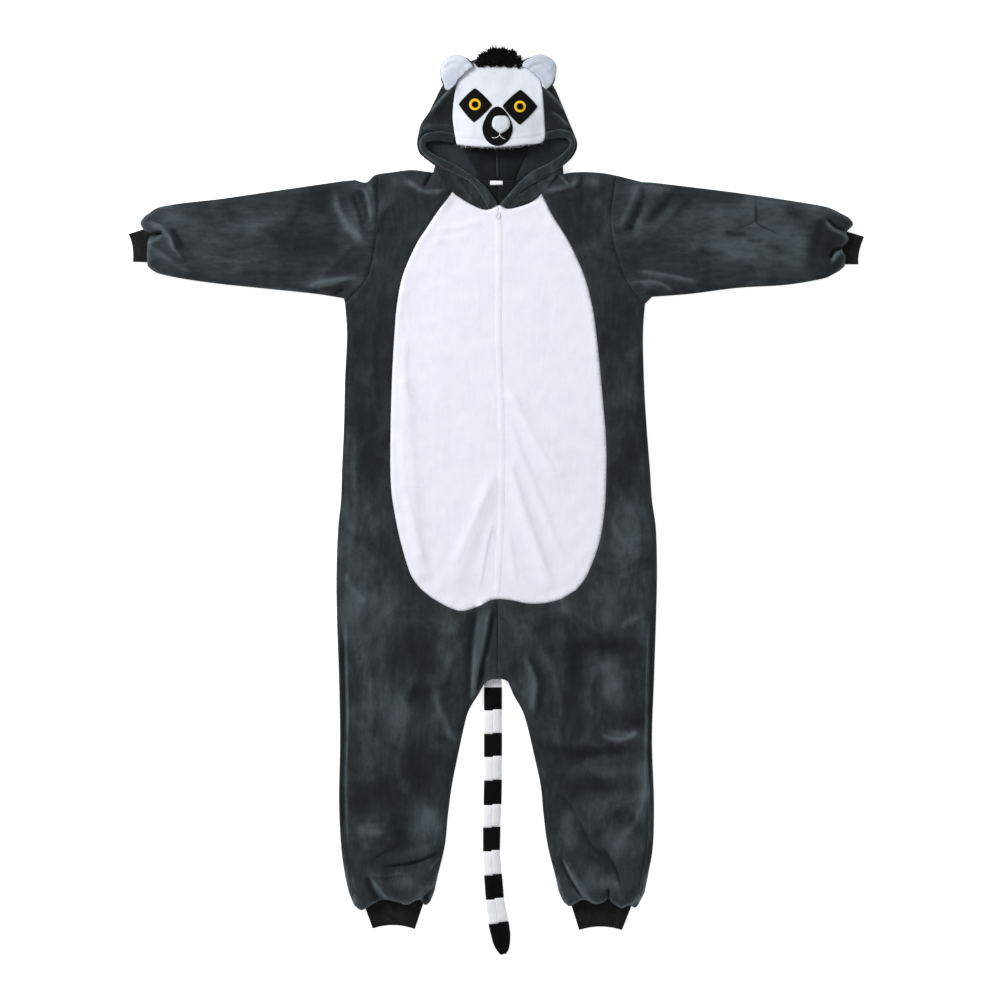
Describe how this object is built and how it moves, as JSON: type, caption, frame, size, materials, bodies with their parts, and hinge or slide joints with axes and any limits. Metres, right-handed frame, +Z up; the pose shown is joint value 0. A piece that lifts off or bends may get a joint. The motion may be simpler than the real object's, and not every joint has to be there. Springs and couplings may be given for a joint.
{
  "type": "lemur_onesie",
  "caption": "Adult plush onesie laid flat: dark suit, white buttoned belly, animal-face hood with ears and hair tuft, rib cuffs, ringed tail",
  "frame": {"origin": "on the floor under the middle of the torso, on the flat underside of the back, 4 mm beside the centre back seam", "axes": "+Z up from the floor through back and front, +Y towards the hood, +X towards the wearer's left sleeve"},
  "size_m": [1.471, 1.816, 0.0495],
  "materials": {
    "plush_dark": "short dark slate plush",
    "plush_white": "short white plush",
    "plush_black": "short black plush",
    "rib_black": "black rib knit",
    "felt_black": "black felt",
    "felt_yellow": "yellow felt",
    "felt_grey": "pale grey felt, stuffed",
    "fur_black": "black faux fur",
    "label_white": "white satin ribbon",
    "button_pale": "pale plastic"
  },
  "bodies": {
    "root": {"front_left": "plush_dark", "front_right": "plush_dark", "back_left": "plush_dark", "back_right": "plush_dark", "sleeve_left": "plush_dark", "sleeve_right": "plush_dark", "hood_side_left": "plush_dark", "hood_side_right": "plush_dark", "hood_middle_left": "plush_dark", "hood_middle_right": "plush_dark", "band_left": "plush_dark", "band_right": "plush_dark", "ear_back_left": "plush_dark", "ear_back_right": "plush_dark", "belly_left": "plush_white", "belly_right": "plush_white", "placket": "plush_white", "face": "plush_white", "ear_front_left": "plush_white", "ear_front_right": "plush_white", "cuff_wrist_left": "rib_black", "cuff_wrist_right": "rib_black", "cuff_ankle_left": "rib_black", "cuff_ankle_right": "rib_black", "eye_patch_left": "felt_black", "eye_patch_right": "felt_black", "pupil_left": "felt_black", "pupil_right": "felt_black", "muzzle": "felt_black", "iris_left": "felt_yellow", "iris_right": "felt_yellow", "nose": "felt_grey", "tuft": "fur_black", "neck_label": "label_white", "button": "button_pale", "tail_band_01": "plush_white", "tail_band_02": "plush_black", "tail_band_03": "plush_white", "tail_band_04": "plush_black", "tail_band_05": "plush_white", "tail_band_06": "plush_black", "tail_band_07": "plush_white", "tail_band_08": "plush_black", "tail_band_09": "plush_white", "tail_band_10": "plush_black", "tail_band_11": "plush_white", "tail_band_12": "plush_black"}
  },
  "joints": []
}
